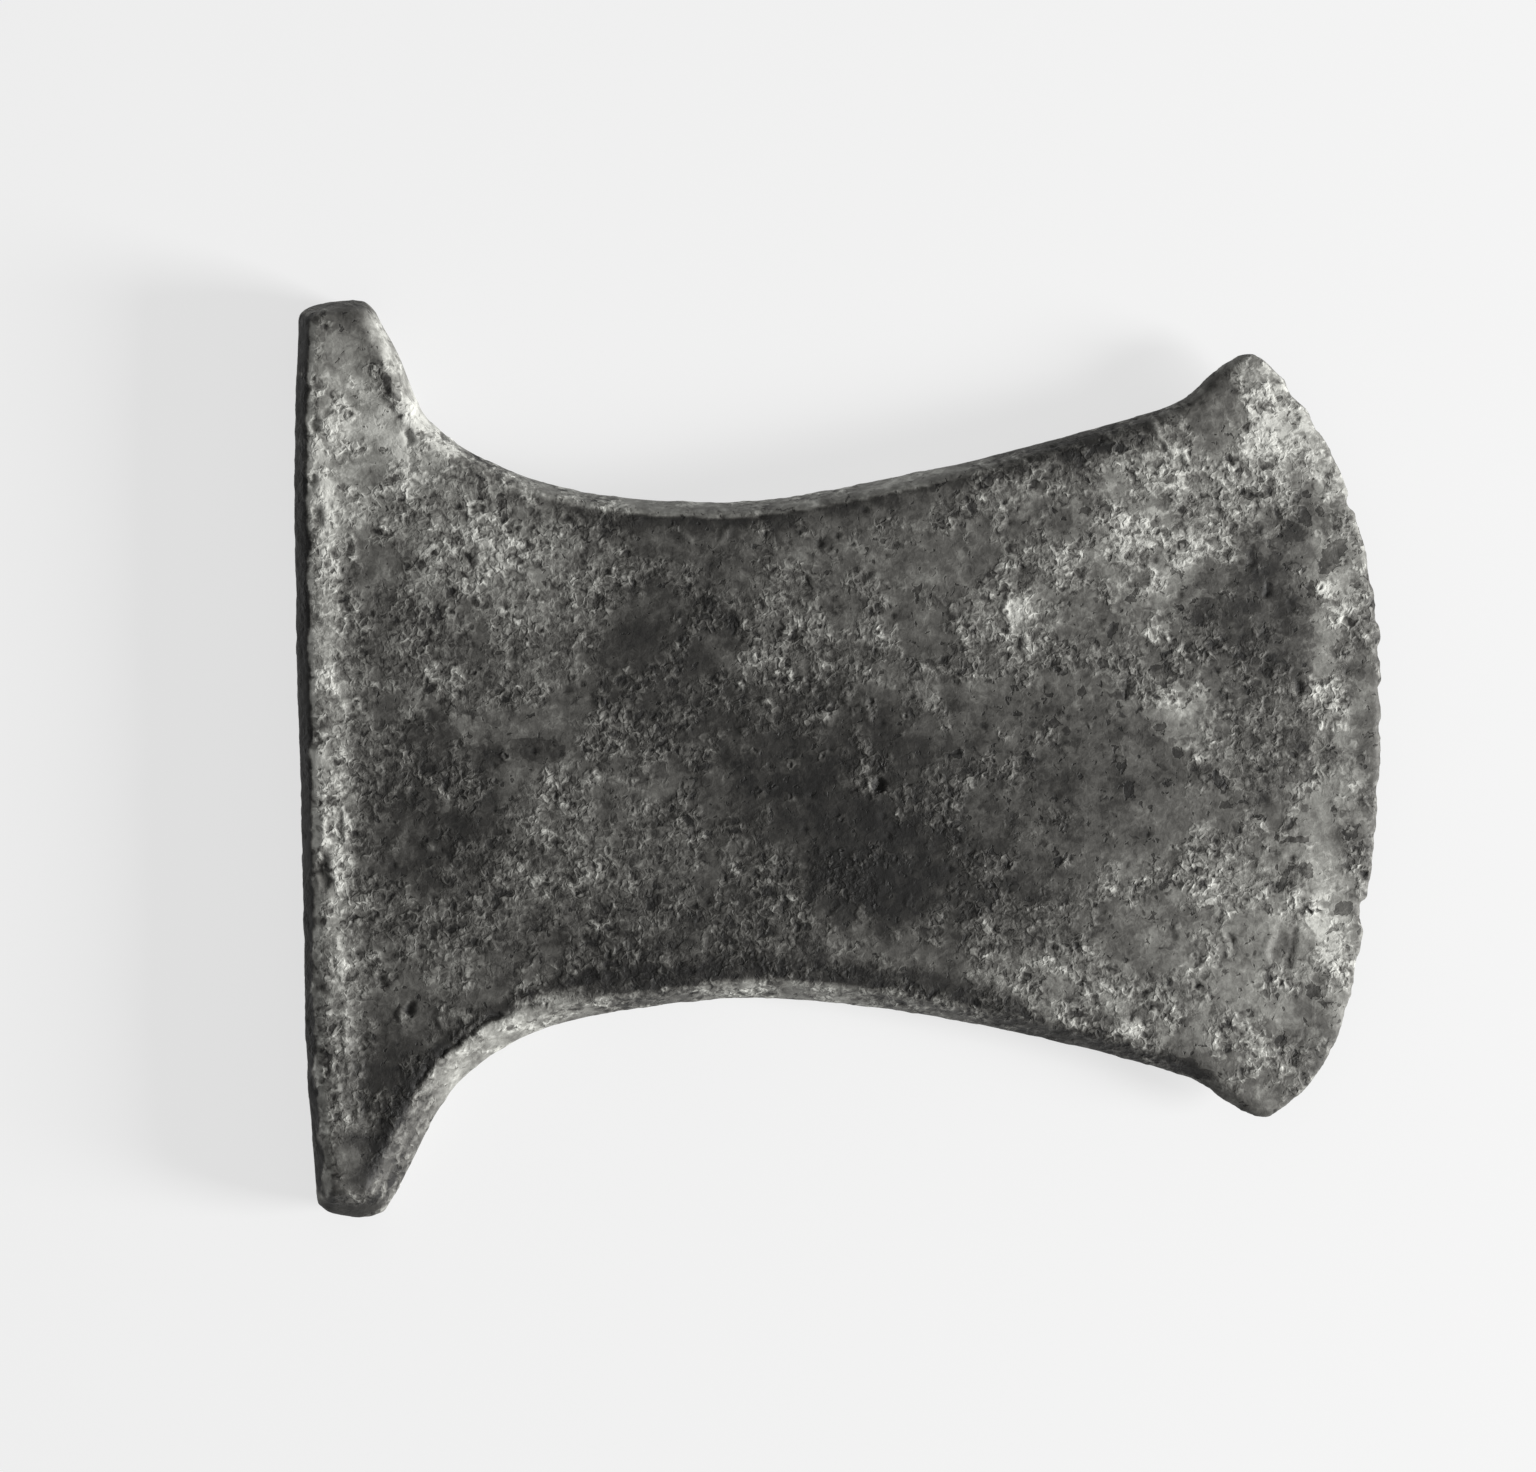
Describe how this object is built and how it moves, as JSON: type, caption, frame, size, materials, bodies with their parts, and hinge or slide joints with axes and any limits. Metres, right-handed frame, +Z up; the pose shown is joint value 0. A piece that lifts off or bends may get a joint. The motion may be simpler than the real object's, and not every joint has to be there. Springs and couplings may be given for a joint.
{
  "type": "axe blade",
  "caption": "Waisted bronze axe blade with a lugged straight butt and a splayed convex cutting edge.",
  "frame": {"origin": "on the ground, under the middle of the blade's bounding box as it lies on its flat back", "axes": "+X along the blade's axis from the butt to the cutting edge, +Z up out of the face, +Y to the side that the picture shows uppermost"},
  "size_m": [0.13, 0.11, 0.0102],
  "materials": {
    "bronze": "corroded bronze patina, matt and rough, with pale crust on the butt, one lug and the tips"
  },
  "bodies": {
    "root": {"axe_blade": "bronze"}
  },
  "joints": []
}
